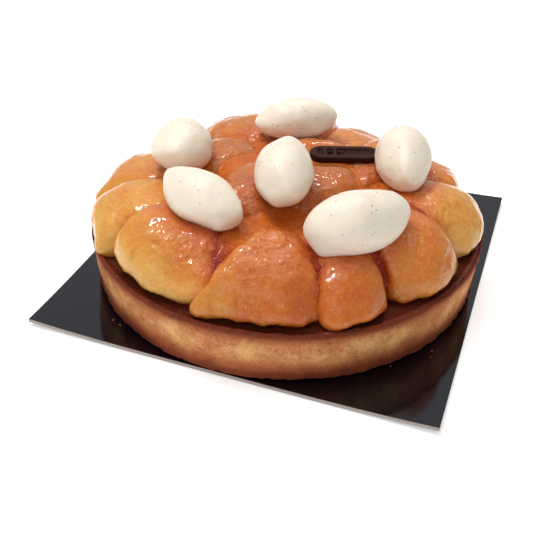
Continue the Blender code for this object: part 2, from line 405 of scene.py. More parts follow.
# %% Soft lumps
def node_points(name):
    """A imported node's vertices."""
    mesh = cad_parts[name].data
    points = np.empty(3 * len(mesh.vertices))
    mesh.vertices.foreach_get("co", points)
    return points.reshape(-1, 3)


def node_samples(name, cut=3):
    """Points spread over a node's triangles, and the area that each stands for.

    Each triangle is cut into cut * cut equal smaller ones, and their middles are
    the points."""
    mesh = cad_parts[name].data
    mesh.calc_loop_triangles()
    triangles = np.empty(3 * len(mesh.loop_triangles), dtype=np.int32)
    mesh.loop_triangles.foreach_get("vertices", triangles)
    corner = node_points(name)[triangles.reshape(-1, 3)]
    area = np.linalg.norm(np.cross(corner[:, 1] - corner[:, 0], corner[:, 2] - corner[:, 0]), axis=1) / 2
    shares = [(i + k, j + k) for k in (1 / 3, 2 / 3) for i in range(cut) for j in range(cut)
              if i + j + 2 * k < cut - 0.01]
    shares = np.array(shares) / cut
    shares = np.column_stack([shares, 1.0 - shares.sum(axis=1)])
    samples = np.einsum("sc,tcx->tsx", shares, corner).reshape(-1, 3)
    return samples, np.repeat(area / len(shares), len(shares))


CUT_EDGE = 0.8 * MM     # how round the edge of a stroke is
LEAST_COSINE = 0.05     # keeps a stroke's limit finite beside and behind it


def soft_reach(name, ball, rounding, strokes=(), pulls=()):
    """Middle of a lump, and its reach in every direction of a ball grid: the mean
    of the reach of the sample points, each weighing area / reach^2 (the share of the
    view that it fills) times exp(sharpness * (cosine - 1)).

    rounding is in degrees. A stroke is (direction, share): a flat cut square to
    the direction at that share of the lump's own reach along it, joined to the rest
    by the soft minimum -e log(exp(-a/e) + exp(-b/e)). A pull is (turn,
    radius, height, width): the skin is drawn out, over a width in degrees, until it
    passes through that point of the tart, given in degrees and millimetres.
    """
    samples, area = node_samples(name)
    middle = (samples * area[:, None]).sum(axis=0) / area.sum()
    away = samples - middle
    reach = np.linalg.norm(away, axis=1)
    away /= reach[:, None]
    view = area / reach ** 2
    sharpness = 1.0 / math.radians(rounding) ** 2
    cosine = ball.astype(np.float32) @ away.T.astype(np.float32)
    weight = np.exp(np.float32(sharpness) * (cosine - np.float32(1.0)))
    weight *= view.astype(np.float32) / np.float32(view.mean())
    reach = (weight @ reach.astype(np.float32)).astype(float) / weight.sum(axis=1)
    for direction, share in strokes:
        direction = np.asarray(direction, dtype=float)
        direction /= np.linalg.norm(direction)
        along = ball @ direction
        limit = share * (reach * along).max() / np.maximum(along, LEAST_COSINE)
        reach = -CUT_EDGE * np.logaddexp(-reach / CUT_EDGE, -limit / CUT_EDGE)
    for turn, radius, height, width in pulls:
        turn = math.radians(turn)
        target = np.array((radius * math.cos(turn), radius * math.sin(turn), height)) * MM - middle
        length = np.linalg.norm(target)
        cosine = ball @ (target / length)
        missing = length - reach[cosine.argmax()]
        reach = reach + missing * np.exp((cosine - 1.0) / math.radians(width) ** 2)
    return middle, reach


print("soft lumps ready")

# %% [markdown]
# ## Cooked apple
#
# Quarters of apple, slowly cooked in butter and sugar, are soft and half
# transparent. The side that lay in the caramel is amber to red-brown, the outer
# shoulder stays golden yellow, and a clear glaze covers everything. So each quarter
# has a base tone and a share of gold that grows outwards and downwards. Its shape is
# the soft lump with broad knife facets, a few corners drawn out, and a wavy wet skin
# that has wrinkled in places as the glaze set.

# %% Apple shapes
# For each quarter: its tone from 0, red-brown, to 1, yellow, and how much more
# golden it gets on its outer side.
APPLE_TONES = {
    "outer_01": (0.44, 0.10), "outer_02": (0.44, 0.10), "outer_03": (0.44, 0.18),
    "outer_04": (0.46, 0.54), "outer_05": (0.52, 0.22), "outer_06": (0.50, 0.25),
    "outer_07": (0.62, 0.15), "outer_08": (0.50, 0.25), "outer_09": (0.56, 0.18),
    "outer_10": (0.55, 0.30), "outer_11": (0.65, 0.20), "outer_12": (0.70, 0.28),
    "outer_13": (0.36, 0.74), "inner_1": (0.56, 0.0), "inner_2": (0.44, 0.0),
    "inner_3": (0.46, 0.0), "inner_4": (0.34, 0.0), "inner_5": (0.46, 0.0),
}
# Knife strokes, as (direction, share of the reach), on the quarters that show them.
APPLE_STROKES = {
    "outer_01": [((-0.86, 0.08, 0.50), 0.66), ((0.75, -0.4, 0.5), 0.93)],
    "outer_02": [((0.80, 0.58, 0.15), 0.90), ((0.5, -0.2, 0.8), 0.94)],
    "outer_03": [((-0.62, -0.78, 0.15), 0.80), ((0.2, -0.75, 0.6), 0.95)],
    "outer_04": [((0.6, -0.3, 0.75), 0.95)],
    "outer_13": [((0.25, -0.55, 0.8), 0.92)],
    "inner_3": [((0.3, -0.7, 0.65), 0.93)],
    "inner_4": [((-0.3, -0.6, 0.7), 0.9), ((0.6, -0.1, 0.8), 0.92)],
}
# Places where a quarter's skin is drawn out: (turn, radius, height, width).
APPLE_PULLS = {
    "outer_01": [(265.0, 96.0, 30.5, 9.0)],
    "outer_11": [(199.5, 97.0, 33.5, 8.0)],
    "outer_12": [(226.0, 95.5, 29.5, 12.0)],
    "outer_13": [(258.0, 66.0, 47.0, 14.0), (264.0, 84.0, 38.0, 12.0), (261.0, 89.0, 31.0, 9.0)],
    "outer_02": [(300.7, 96.5, 30.5, 14.0)],
    "outer_03": [(325.0, 91.5, 30.0, 5.0)],
    "inner_5": [(44.0, 33.0, 54.3, 26.0)],
}
# Places where the glaze has wrinkled as it set: (turn, radius, spread).
WRINKLES = [
    (244.6, 79.5, 10.0), (253.0, 74.0, 8.0), (268.4, 78.0, 8.0), (276.0, 74.0, 8.0), (284.0, 62.0, 8.0),
    (291.0, 74.0, 9.0), (307.5, 76.0, 8.0), (331.0, 78.0, 8.0), (0.0, 78.0, 9.0), (144.7, 61.7, 9.0),
    (272.4, 36.4, 8.0), (314.7, 31.5, 8.0), (145.0, 43.0, 8.0), (14.1, 35.7, 8.0), (338.4, 37.6, 8.0),
]
# The size and depth of each layer of waves and of creases.
SKIN_WAVES = ((15 * MM, 0.9 * MM), (6.5 * MM, 0.40 * MM))
SKIN_CREASES = ((6.5 * MM, 0.40 * MM), (4.0 * MM, 0.34 * MM),
                (2.6 * MM, 0.25 * MM), (1.6 * MM, 0.09 * MM))
CREST = 0.08     # how round the top of a crease is
MOST_LOOSE = 1.5     # how much deeper than usual a crease may get
GLAZE_COAT = 1.1 * MM
SIDE_SWELL = 3.0 * MM     # the quarters swell sideways, so that neighbours touch
APPLE_ROUNDING = 6.0      # degrees


def bar_axes():
    """Middle, long axis, half length, half width and heights of the bar's node."""
    points = node_points("chocolate")
    flat = points[:, :2]
    middle = (flat.max(axis=0) + flat.min(axis=0)) / 2
    angles = np.linspace(0, math.pi, 361)
    axes = np.stack([np.cos(angles), np.sin(angles)])
    spread = np.abs((flat - middle) @ axes).max(axis=0)
    along = axes[:, spread.argmax()]
    across = np.array([-along[1], along[0]])
    width = np.abs((flat - middle) @ across).max()
    return middle, along, spread.max(), width, points[:, 2].min(), points[:, 2].max()


BAR_MIDDLE, BAR_ALONG, BAR_LENGTH, BAR_WIDTH, BAR_LOW, BAR_HIGH = bar_axes()
BAR_CLEARANCE = 0.2 * MM
BAR_MARGIN = 1.5 * MM     # the fruit stays low this far round the bar
BAR_SLOPE = 0.5           # and then rises this much for each step outwards


def bar_limit(x, y):
    """The height that the fruit may have under and round the bar that lies on it."""
    flat = np.stack([x - BAR_MIDDLE[0], y - BAR_MIDDLE[1]])
    along = np.tensordot(BAR_ALONG, flat, axes=1)
    across = BAR_ALONG[0] * flat[1] - BAR_ALONG[1] * flat[0]
    outside = np.hypot(np.maximum(np.abs(along) - BAR_LENGTH + BAR_WIDTH, 0.0), across) - BAR_WIDTH
    return BAR_LOW - BAR_CLEARANCE + BAR_SLOPE * np.maximum(outside - BAR_MARGIN, 0.0)


PRESS_EDGE = 1.0 * MM     # how softly the fruit gives way


def press_flat(points):
    """The points, kept below the bar's limit by the same soft minimum as a stroke."""
    limit = bar_limit(points[:, 0], points[:, 1])
    points[:, 2] = -PRESS_EDGE * np.logaddexp(-points[:, 2] / PRESS_EDGE, -limit / PRESS_EDGE)
    return points


def apple_surface(name, seed):
    """Middle plus direction times (soft reach + coat + sideways swell + waves +
    creases). A crease is 1 - 2 hypot(noise, crest), deeper where the skin is loose.
    A quarter of the ring swells along the ring, an inner one all round."""
    rng = np.random.default_rng(seed)
    quarter = name.removeprefix("apple_")
    strokes = APPLE_STROKES.get(quarter, []) + [
        ((rng.uniform(-1, 1), rng.uniform(-1, 1), rng.uniform(0.1, 0.9)), rng.uniform(0.92, 0.96))
        for _ in range(2)]
    middle, reach = soft_reach(name, BALL, APPLE_ROUNDING, strokes, APPLE_PULLS.get(quarter, ()))
    start = middle + BALL * reach[:, None]
    wave = sum(depth * cloud(start, size, seed + k) for k, (size, depth) in enumerate(SKIN_WAVES))
    loose = 0.20 + 0.45 * step(cloud(start, 15 * MM, seed + 5), -0.1, 0.3)
    for turn, radius, spread in WRINKLES:
        spot = radius * np.array((math.cos(math.radians(turn)), math.sin(math.radians(turn))))
        away = np.linalg.norm(start[:, :2] / MM - spot, axis=1)
        loose += np.exp(-(away / spread) ** 2) * step(start[:, 2], middle[2], middle[2] + 6 * MM)
    loose = np.minimum(loose, MOST_LOOSE)
    for k, (size, depth) in enumerate(SKIN_CREASES, start=2):
        wave += depth * loose * (1.0 - 2.0 * np.hypot(cloud(start, size, seed + k), CREST))
    side = np.array((-middle[1], middle[0], 0.0)) / np.hypot(middle[0], middle[1])
    swell = SIDE_SWELL * (BALL @ side) ** 2
    if "inner" in name:
        swell = SIDE_SWELL * (1.0 - BALL[:, 2] ** 2)
    return press_flat(middle + BALL * (reach + GLAZE_COAT + swell + wave)[:, None])


APPLE_POINTS = {name: apple_surface(name, 10 * i) for i, name in enumerate(APPLES, start=1)}
print("apples:", len(APPLE_POINTS), "surfaces of", len(BALL), "points")

# %% [markdown]
# ## Where the syrup gathers
#
# Syrup fills a narrow groove and leaves a broad dome bare. Seen from above, the heap
# is a height map. Spreading its highest values over a small disc and shrinking them
# back (a closing) fills exactly the grooves narrower than the disc. The difference
# from the bare fruit says how deep in a groove each point lies: there the apples get
# a redder, darker tone, partly for the syrup and partly as painted shade, and a thin
# pool of syrup takes the closed surface's own shape. A second map marks where the
# quenelles lie, for painted shade on the apples under them.

# %% Height map of the heap
CELL = 1.0 * MM
MAP_HALF = 104
FILLING_LOW, FILLING_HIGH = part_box("filling")
CARAMEL_Z = FILLING_HIGH.z


def disc_filter(grid, radius, pick):
    """pick (np.maximum or np.minimum) of the map over a disc of cells."""
    result = grid.copy()
    for dx in range(-radius, radius + 1):
        for dy in range(-radius, radius + 1):
            if dx * dx + dy * dy <= radius * radius + 1:
                result = pick(result, np.roll(grid, (dx, dy), axis=(0, 1)))
    return result


def close_grooves(grid, radius):
    """Fill every groove of the map that is narrower than a disc of cells."""
    return disc_filter(disc_filter(grid, radius, np.maximum), radius, np.minimum)


def blur(grid, cells):
    """Gaussian blur of a map, along one axis and then the other."""
    span = np.arange(-3 * cells, 3 * cells + 1)
    weight = np.exp(-0.5 * (span / cells) ** 2)
    weight /= weight.sum()
    for axis in (0, 1):
        grid = sum(w * np.roll(grid, s, axis=axis) for w, s in zip(weight, span))
    return grid


def map_cells(points):
    return np.clip(np.round(points[:, :2] / CELL).astype(int) + MAP_HALF, 0, 2 * MAP_HALF).T


HEAP = np.full((2 * MAP_HALF + 1, 2 * MAP_HALF + 1), CARAMEL_Z)
for surface in APPLE_POINTS.values():
    column, row = map_cells(surface)
    np.maximum.at(HEAP, (column, row), surface[:, 2])
HEAP = close_grooves(HEAP, 1)
CLOSED = close_grooves(HEAP, 9)
WIDE = blur(CLOSED, 2)
# SHADE: where painted shade darkens the apples under the quenelles
SHADE = np.zeros_like(HEAP)     # 1 under a quenelle, and 0 clear of it
for name in CREAMS:
    column, row = map_cells(node_samples(name, 5)[0])
    SHADE[column, row] = 1.0
SHADE = blur(disc_filter(disc_filter(SHADE, 3, np.maximum), 1, np.minimum), 3)
NARROW = blur(close_grooves(HEAP, 4), 1) - 1.5 * MM
BROAD = blur(CLOSED, 1) - 1.2 * MM
MAP_AXIS = (np.arange(2 * MAP_HALF + 1) - MAP_HALF) * CELL
MAP_X, MAP_Y = np.meshgrid(MAP_AXIS, MAP_AXIS, indexing="ij")
MAP_RADIUS = np.hypot(MAP_X, MAP_Y)
MIDST = step(-MAP_RADIUS, -78 * MM, -58 * MM)     # 1 in the middle, 0 in the ring
SYRUP = NARROW + (BROAD - NARROW) * MIDST - 5.0 * MM * step(MAP_RADIUS, 74 * MM, 90 * MM)
SYRUP = np.minimum(SYRUP, bar_limit(MAP_X, MAP_Y))
print("heap: top at %.1f mm, deepest groove %.1f mm" % (HEAP.max() / MM, (WIDE - HEAP).max() / MM))

# %% [markdown]
# ## The glazed skin
#
# Light sinks into cooked apple and comes out warmer, so the skin scatters it below a
# clear coat. One tone number per vertex reads the colour off a ramp from caramel red
# to yellow, and noises of four sizes break it up: mottling, pulp, fibres and grain.
# Fine creases too small for the mesh are relief in the material.

# %% Apple skin
def apple_look(name="glazed_apple", shine=1.0):
    """Glazed fruit; shine scales the coat and the skin's own gloss."""
    look = Look(name, IOR=1.42, Subsurface_Weight=0.55, Subsurface_Scale=0.0022,
                Subsurface_Radius=(1.0, 0.60, 0.40), Specular_IOR_Level=0.20 * shine,
                Coat_Weight=0.64 * shine, Coat_Roughness=0.03, Coat_IOR=1.45)
    tone = look.attribute("tone")
    mottle = look.noise(8 * MM, 4.0, 0.6)
    fibre = look.noise(1.5 * MM, 3.0, 0.6, stretch=(1.0, 1.0, 0.35))
    grain = look.noise(0.55 * MM, 2.0, 0.6)
    pulp = look.noise(3.2 * MM, 4.0, 0.65)
    tone = tone + 0.04 + (mottle - 0.5) * 0.36 + (pulp - 0.5) * 0.30 + (fibre - 0.5) * 0.22
    colour = look.ramp(tone, [
        (0.0, (0.20, 0.010, 0.004)),
        (0.20, (0.39, 0.040, 0.006)),
        (0.40, (0.55, 0.105, 0.012)),
        (0.60, (0.63, 0.172, 0.020)),
        (0.80, (0.69, 0.285, 0.044)),
        (1.0, (0.75, 0.410, 0.096)),
    ])
    pale = look.rise(fibre, 0.54, 0.80) * 0.36 + look.rise(grain, 0.52, 0.78) * 0.32
    milky = look.mix(mottle, (0.26, 0.066, 0.009), (0.44, 0.160, 0.026))
    colour = look.coats(colour, (pale, (0.74, 0.42, 0.19)), (look.attribute("dull"), milky))
    swell = look.noise(3.4 * MM, 3.0)
    off = (swell - 0.5).most(0.5 - swell)
    crease = (1.0 - off * 2.0) ** 7.0
    loose = look.rise(look.noise(12 * MM, 2.0), 0.40, 0.58)
    relief = look.relief(
        (crease * (0.25 + 0.75 * loose), 0.35 * MM, 0.9),
        (look.noise(1.3 * MM, 3.0), 0.16 * MM, 0.7),
        (grain, 0.07 * MM, 0.8))
    look.set(Base_Color=colour, Roughness=0.09 + 0.18 * look.noise(5 * MM, 2.0), Normal=relief)
    return look.material


APPLE_SKIN = apple_look()

# The way in which some quarters turn more golden, as a change of tone per 20 mm.
TONE_LEANS = {
    "outer_01": (-0.10, -0.05, 0.0), "outer_13": (-0.10, 0.0, -0.04),
    "outer_03": (0.06, -0.03, 0.0), "outer_04": (0.10, 0.0, 0.0),
}
# The share of a browner, milky glaze on the quarters of the middle and the back.
DULLNESS = {
    "inner_1": 0.50, "inner_2": 0.42, "inner_3": 0.50, "inner_4": 0.34,
    "inner_5": 0.30, "outer_09": 0.30, "outer_08": 0.2, "outer_02": 0.1,
    "outer_01": 0.18, "outer_11": 0.16, "outer_12": 0.06,
}
USUAL_DULLNESS = 0.1


def apple_tone(name, points, seed):
    """Base tone, plus gold outwards and downwards, minus tone for a redder, darker
    painted shade down in the grooves (partly the syrup there), along the lower edge by
    the caramel and under the quenelles, plus a lean to one side and a slow drift."""
    tone, gold = APPLE_TONES[name.removeprefix("apple_")]
    radius = np.hypot(points[:, 0], points[:, 1])
    outside = 0.45 * step(radius, 52 * MM, 92 * MM) + 0.55 * step(-points[:, 2], -50 * MM, -30 * MM)
    column, row = map_cells(points)
    # how deep in a groove: a redder, darker tone, partly the syrup there and partly painted shade
    sunk = step(WIDE[column, row] - points[:, 2], 0.3 * MM, 6.0 * MM) * step(-radius, -92 * MM, -80 * MM)
    lean = TONE_LEANS.get(name.removeprefix("apple_"), (0.0, 0.0, 0.0))
    drift = (points - points.mean(axis=0)) @ np.array(lean) / (20 * MM)
    # painted shade along the lower edge, where the quarter curls under by the caramel
    low = step(-points[:, 2], -CARAMEL_Z - 5.0 * MM, -CARAMEL_Z - 0.5 * MM)
    # painted shade under the quenelles
    tone = tone - 0.12 * SHADE[column, row]
    tone = tone + gold * outside - 0.60 * sunk - 0.34 * low + drift
    return tone + 0.10 * cloud(points, 12 * MM, seed)


for seed, (name, points) in enumerate(APPLE_POINTS.items(), start=500):
    tones = apple_tone(name, points, seed)
    dull = np.full(len(points), DULLNESS.get(name.removeprefix("apple_"), USUAL_DULLNESS))
    make_piece("skin_" + name, name, "glazed_apple", points, BALL_QUADS, APPLE_SKIN, tone=tones, dull=dull)
print("apples set:", len(APPLE_POINTS))

# %% [markdown]
# ## The pool of syrup
#
# The syrup is one thin sheet with a closed underside, kept just below the fruit
# except in the grooves, where its top shows between the quarters.

# %% Syrup
def sheet_mesh(inside, top, bottom):
    """Points and faces of a closed slab over the true cells of a mask: a top and a
    bottom vertex at each grid point, and a wall along each open edge."""
    size = inside.shape[0]
    cell = grid_quads(inside).all(axis=2)
    quad = grid_quads(np.arange(size * size).reshape(size, size))[cell]
    under = quad[:, ::-1] + size * size
    edges = np.concatenate([quad[:, [k, (k + 1) % 4]] for k in range(4)])
    code = edges[:, 0] * size * size + edges[:, 1]
    back = edges[:, 1] * size * size + edges[:, 0]
    edges = edges[~np.isin(code, back)]
    first, second = edges.T
    wall = np.stack([second, first, first + size * size, second + size * size], axis=1)
    points = np.concatenate([np.stack([MAP_X, MAP_Y, z], axis=2).reshape(-1, 3) for z in (top, bottom)])
    faces = np.concatenate([quad, under, wall])
    used, faces = np.unique(faces, return_inverse=True)
    return points[used], faces.reshape(-1, 4)


SYRUP_FULL = 62 * MM     # within this radius the sheet has no holes
SYRUP_END = 92 * MM


def make_syrup():
    """The sheet wherever there is fruit, with a wrinkled top in the middle."""
    fruit = disc_filter(HEAP, 2, np.minimum) > CARAMEL_Z + 2.0 * MM
    inside = (fruit | (MAP_RADIUS < SYRUP_FULL)) & (MAP_RADIUS < SYRUP_END)
    points, faces = sheet_mesh(inside, SYRUP, np.full_like(SYRUP, CARAMEL_Z - MM))
    column, row = map_cells(points)
    midst = MIDST[column, row]
    points[:, 2] += midst * 0.4 * MM * (1.0 - 2.0 * np.abs(cloud(points, 4 * MM, 81)))
    tone = 0.02 + 0.36 * midst
    look = apple_look("red_syrup", 0.35)
    return make_piece("red_syrup", None, "dark_caramel", points, faces, look, tone=tone, dull=0.25 * midst)


print("syrup:", len(make_syrup().data.polygons), "faces")

# %% [markdown]
# ## Quenelles of vanilla cream
#
# A quenelle is whipped cream rolled between two spoons: an egg with a soft keel, a
# blunt tip where the spoon left it, a silky skin and tiny black vanilla seeds. The
# frame's egg is rounded a little more than the apples, so that its keel is soft, and
# spoon strokes flatten a tip or a flank.

# %% Cream shapes
CREAM_STROKES = {
    "cream_1": [((0.2, -0.3, 0.93), 0.96)],
    "cream_2": [((0.78, -0.55, -0.25), 0.88), ((-0.15, -0.75, -0.6), 0.86), ((0.7, 0.65, -0.1), 0.90)],
    "cream_3": [((0.25, -0.93, -0.25), 0.88)],
    "cream_5": [((-0.55, -0.75, -0.25), 0.90)],
    "cream_6": [((0.2, -0.9, -0.3), 0.94)],
}
CREAM_PULLS = {"cream_6": [(301.5, 70.6, 50.0, 10.0)]}
CREAM_ROUNDING = 6.5     # degrees
RANDOM_STROKES = 8


def cream_surface(name, seed):
    """Middle plus direction times (soft reach + a faint uneven skin)."""
    rng = np.random.default_rng(seed)
    strokes = CREAM_STROKES.get(name, []) + [
        (rng.normal(size=3) + (0.0, 0.0, 0.4), rng.uniform(0.92, 0.97)) for _ in range(RANDOM_STROKES)]
    middle, reach = soft_reach(name, SMALL_BALL, CREAM_ROUNDING, strokes, CREAM_PULLS.get(name, ()))
    start = middle + SMALL_BALL * reach[:, None]
    wave = 0.6 * MM * cloud(start, 14 * MM, seed) + 0.22 * MM * cloud(start, 5 * MM, seed + 1)
    wave += 0.07 * MM * cloud(start, 1.8 * MM, seed + 2)
    return middle + SMALL_BALL * (reach + 0.2 * MM + wave)[:, None]


def cream_look():
    look = Look("vanilla_cream", Subsurface_Weight=0.30, Subsurface_Scale=0.004,
                Subsurface_Radius=(1.0, 0.75, 0.45))
    faint = look.rise(look.noise(6 * MM, 3.0), 0.45, 0.75)
    stain = look.rise(look.noise(7 * MM, 2.0, 0.4), 0.66, 0.74)
    speck = 1.0 - look.rise(look.cells(3.4 * MM), 0.07, 0.15)
    speck = speck * look.rise(look.noise(9 * MM, 2.0), 0.46, 0.58)
    colour = look.coats(
        (0.84, 0.755, 0.630), (faint, (0.81, 0.715, 0.585)),
        (stain * 0.5, (0.86, 0.70, 0.42)), (speck * 0.40, (0.45, 0.40, 0.39)))
    relief = look.relief(
        (look.noise(3.5 * MM, 3.0), 0.30 * MM, 0.6), (look.noise(0.9 * MM, 2.0), 0.08 * MM, 0.7))
    look.set(Base_Color=colour, Roughness=0.38 + 0.12 * look.noise(3 * MM), Normal=relief)
    return look.material


CREAM_SKIN = cream_look()
CREAM_POINTS = {name: cream_surface(name, 700 + 5 * i) for i, name in enumerate(CREAMS)}
for name, points in CREAM_POINTS.items():
    make_piece("quenelle_" + name, name, "vanilla_cream", points, SMALL_QUADS, CREAM_SKIN)
print("quenelles set:", len(CREAM_POINTS))

# %% [markdown]
# ## Vanilla seeds
#
# The seeds are about half a millimetre long. Each is a tiny six-cornered grain, half
# sunk in the cream at a point chosen at random, and all of them are one mesh.

# %% Seeds
def scatter(points, normals, sizes, rng):
    """Joined octahedra at the points: six corners at +-axis, squashed to a random
    shape and turned to lie along the surface."""
    corner = np.array([(1, 0, 0), (-1, 0, 0), (0, 1, 0), (0, -1, 0), (0, 0, 1), (0, 0, -1)], float)
    above = [(0, 2, 4), (2, 1, 4), (1, 3, 4), (3, 0, 4)]
    below = [(2, 0, 5), (1, 2, 5), (3, 1, 5), (0, 3, 5)]
    faces = np.array(above + below)
    side = np.cross(normals, rng.normal(size=normals.shape))
    side /= np.linalg.norm(side, axis=1)[:, None]
    axes = np.stack([side, np.cross(normals, side), normals], axis=1)
    shape = sizes[:, None] * rng.uniform(0.6, 1.3, (len(points), 3)) * (1.0, 0.7, 0.5)
    grains = np.einsum("ck,pk,pkj->pcj", corner, shape, axes) + points[:, None, :]
    index = faces[None] + 6 * np.arange(len(points))[:, None, None]
    return grains.reshape(-1, 3), index.reshape(-1, 3)


def skin_normals(points, faces):
    """Unit normals of a closed surface at its points, from the faces round each."""
    a, b, c = points[faces[:, 0]], points[faces[:, 1]], points[faces[:, 2]]
    face_normal = np.cross(b - a, c - a)
    total = np.zeros_like(points)
    for k in range(faces.shape[1]):
        np.add.at(total, faces[:, k], face_normal)
    return total / np.linalg.norm(total, axis=1)[:, None]


def make_seeds(per_quenelle=64):
    rng = np.random.default_rng(41)
    spots, outs = [], []
    for points in CREAM_POINTS.values():
        normals = skin_normals(points, SMALL_QUADS)
        pick = rng.choice(len(points), per_quenelle, replace=False)
        spots.append(points[pick])
        outs.append(normals[pick])
    sizes = rng.uniform(0.18, 0.44, len(CREAM_POINTS) * per_quenelle) * MM
    grains, faces = scatter(np.concatenate(spots), np.concatenate(outs), sizes, rng)
    look = cloudy_look("vanilla_seed", 1 * MM, (0.012, 0.008, 0.006), (0.05, 0.035, 0.03), Roughness=0.5)
    make_piece("vanilla_seeds", None, "vanilla_cream", grains, faces, look.material, smooth=False)
    return len(sizes)


print("vanilla seeds:", make_seeds())

# %% [markdown]
# ## The short-crust shell
#
# The shell is a turned shape whose rim and foot wander: the frame's shell already
# carries the slow rise and fall, so it is measured there, at every heading. The
# profile is then carried round and roughened: a crumbly rim, a ragged foot, a sandy
# skin with a few pits.

# %% Measure the shell
HEADINGS = 900
SHELL_FACETS = 64     # round the frame's shell
SHELL_WALL = 3.0 * MM
RIM_WALL = 1.8 * MM
LIP = 0.9 * MM
FOOT_EDGE = 1.2 * MM


def shell_rings():
    """Outer radius and height of the shell's rim and foot at every heading."""
    points = node_points("crust")
    radius = np.hypot(points[:, 0], points[:, 1])
    turn = np.arctan2(points[:, 1], points[:, 0])
    headings = np.linspace(-math.pi, math.pi, HEADINGS, endpoint=False)
    middle = (points[:, 2].min() + points[:, 2].max()) / 2
    rings = []
    for pick in (points[:, 2] > middle, (points[:, 2] < middle) & (radius > radius.max() * 0.96)):
        bins = np.round(turn[pick] / (2 * math.pi / SHELL_FACETS)).astype(int) % SHELL_FACETS
        top, out = np.zeros(SHELL_FACETS), np.zeros(SHELL_FACETS)
        np.maximum.at(top, bins, points[pick, 2])
        np.maximum.at(out, bins, radius[pick])
        at = np.arange(SHELL_FACETS) * 2 * math.pi / SHELL_FACETS
        rings.append([np.interp(headings % (2 * math.pi), at, row, period=2 * math.pi)
                      for row in (out, top)])
    return headings, rings[0], rings[1]


SHELL_TURN, (RIM_R, RIM_Z), (FOOT_R, _) = shell_rings()
SHELL_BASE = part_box("crust")[0].z
print("shell: rim radius %.1f mm, rim %.1f to %.1f mm up"
      % (RIM_R.mean() / MM, RIM_Z.min() / MM, RIM_Z.max() / MM))


# %% Shell surface
def revolve(rings_r, rings_z, turn):
    """Rows of radius and height at every turn, as a grid of points (r cos, r sin, z),
    with a point on the axis at each end, and the faces that close it."""
    grid = np.stack([rings_r * np.cos(turn), rings_r * np.sin(turn), rings_z], axis=2).reshape(-1, 3)
    ends = np.array([[0, 0, rings_z[0].mean()], [0, 0, rings_z[-1].mean()]])
    return np.concatenate([grid, ends]), ring_faces(*rings_r.shape)


def shell_profile():
    """Radius and height of every row at every heading, and whether the row lies
    inside: from the axis along the floor, up the inner wall, over the round lip, down
    the outer wall, round the foot and back to the axis."""
    rim, foot, top = RIM_R[None], FOOT_R[None], RIM_Z[None]
    base = SHELL_BASE
    floor = base + SHELL_WALL
    lip_rise = LIP * 0.7
    rows = []

    def add(radius, height):
        rows.append((np.broadcast_to(radius, rim.shape)[0], np.broadcast_to(height, rim.shape)[0]))

    for share in np.linspace(0.05, 0.98, 10):
        add((foot - SHELL_WALL) * share, floor)
    for share in np.linspace(0.0, 0.9, 14):
        wall = SHELL_WALL - (SHELL_WALL - RIM_WALL) * share
        add(foot - wall + (rim - foot) * share, floor + (top - floor) * share)
    inner_rows = len(rows)
    for angle in np.linspace(math.pi * 0.95, 0.05 * math.pi, 12):
        add(rim - LIP + LIP * math.cos(angle), top - lip_rise + lip_rise * math.sin(angle))
        inner_rows += angle > math.pi / 2
    for share in np.linspace(0.06, 1.0, 46):
        add(rim + (foot - rim) * share, top - lip_rise - (top - base - lip_rise - FOOT_EDGE) * share)
    for angle in np.linspace(0.15, math.pi / 2, 5):
        add(foot - FOOT_EDGE * (1 - math.cos(angle)), base + FOOT_EDGE * (1 - math.sin(angle)))
    for share in np.linspace(0.98, 0.05, 8):
        add(foot * share, base)
    within = np.arange(len(rows)) < inner_rows
    return np.array([r for r, _ in rows]), np.array([z for _, z in rows]), within


def crust_look():
    look = Look("baked_crust", IOR=1.4, Specular_IOR_Level=0.12)
    up = (look.height() - SHELL_BASE) / (RIM_Z.mean() - SHELL_BASE)
    drift = look.noise(24 * MM, 2.0, 0.5, stretch=(1.0, 1.0, 0.6))
    patch = look.noise(8 * MM, 4.0, 0.6)
    sand = look.noise(0.8 * MM, 3.0, 0.65)
    speckle = look.noise(2.2 * MM, 4.0, 0.7)
    wander = (drift - 0.5) * 0.40 + (patch - 0.5) * 0.22
    tan = look.rise(up + wander, 0.06, 0.52) * (1.0 - look.rise(up - wander * 0.5, 0.74, 1.04))
    gold = look.rise(up + wander, 0.28, 0.62) * (1.0 - look.rise(up - wander, 0.62, 0.90))
    gold = gold * look.rise(drift * 0.5 + patch * 0.5, 0.40, 0.62)
    foot = 1.0 - look.rise(up + (patch - 0.5) * 0.25, 0.02, 0.22)
    # under: a darker band just below the rim, painted shade
    under = look.rise(up + (patch - 0.5) * 0.14 + (drift - 0.5) * 0.16, 0.89, 1.0)
    colour = look.coats(
        (0.27, 0.062, 0.024),
        (tan, (0.52, 0.190, 0.068)),
        (gold * 0.85, (0.78, 0.44, 0.18)),
        (foot * 0.75, (0.14, 0.032, 0.016)),
        (under * 0.70, (0.14, 0.032, 0.014)),
        (look.rise(speckle, 0.50, 0.74) * (0.55 - gold * 0.35), (0.20, 0.048, 0.020)),
        (look.rise(sand, 0.52, 0.70) * (0.55 - gold * 0.30), (0.10, 0.024, 0.012)),
        ((1.0 - look.rise(sand, 0.30, 0.46)) * tan * 0.30, (0.84, 0.50, 0.24)),
        (look.attribute("inside"), look.mix(patch, (0.040, 0.008, 0.005), (0.14, 0.026, 0.012))),
        (look.attribute("lip") * 0.85, look.mix(speckle, (0.24, 0.045, 0.020), (0.060, 0.010, 0.006))))
    pit = 1.0 - look.rise(look.cells(5 * MM), 0.06, 0.16)
    relief = look.relief((speckle, 0.6 * MM, 0.8), (sand, 0.35 * MM, 1.0), (pit, -0.5 * MM, 1.0))
    look.set(Base_Color=colour, Roughness=0.62 + 0.25 * sand, Normal=relief)
    return look.material


